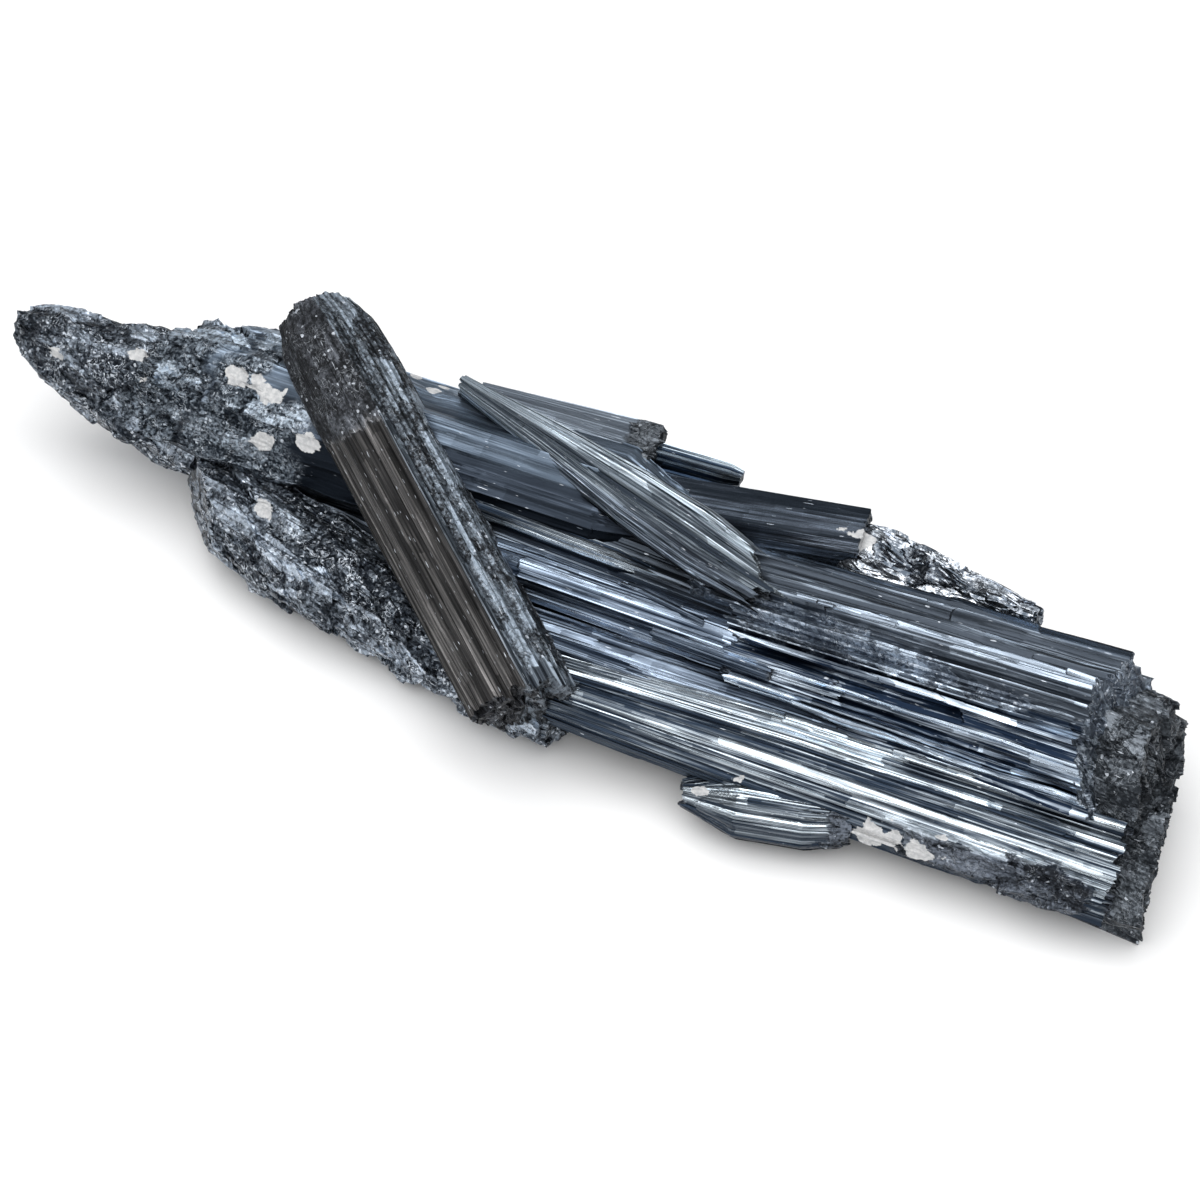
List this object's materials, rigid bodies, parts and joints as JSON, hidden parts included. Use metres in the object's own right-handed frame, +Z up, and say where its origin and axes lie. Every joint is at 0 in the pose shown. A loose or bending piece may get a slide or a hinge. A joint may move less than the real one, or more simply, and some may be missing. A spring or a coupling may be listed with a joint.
{
  "type": "stibnite crystal cluster",
  "caption": "Cluster of long ridged metallic prisms grown side by side, pointed at one end and broken at the other, with smaller crystals lying across and against them",
  "frame": {"origin": "middle of the footprint, on the surface that the cluster lies on", "axes": "+X along the prisms towards their broken thick end, +Y to the back, +Z up"},
  "size_m": [0.124, 0.034, 0.0258],
  "materials": {
    "bright_stibnite": "bright blue-grey metallic lustre on striated prism faces",
    "dark_stibnite": "dark brown-grey, dull metallic, striated and dusted with grains",
    "broken_stibnite": "hackly fracture with small bright facets"
  },
  "bodies": {
    "root": {"prism_bundle": "bright_stibnite", "cross_prism": "dark_stibnite", "splinter_prism": "bright_stibnite", "back_blade": "dark_stibnite", "upper_rod": "bright_stibnite", "lower_rod": "bright_stibnite", "back_plate": "dark_stibnite", "broken_lump": "broken_stibnite", "lens_prism": "bright_stibnite"}
  },
  "joints": []
}
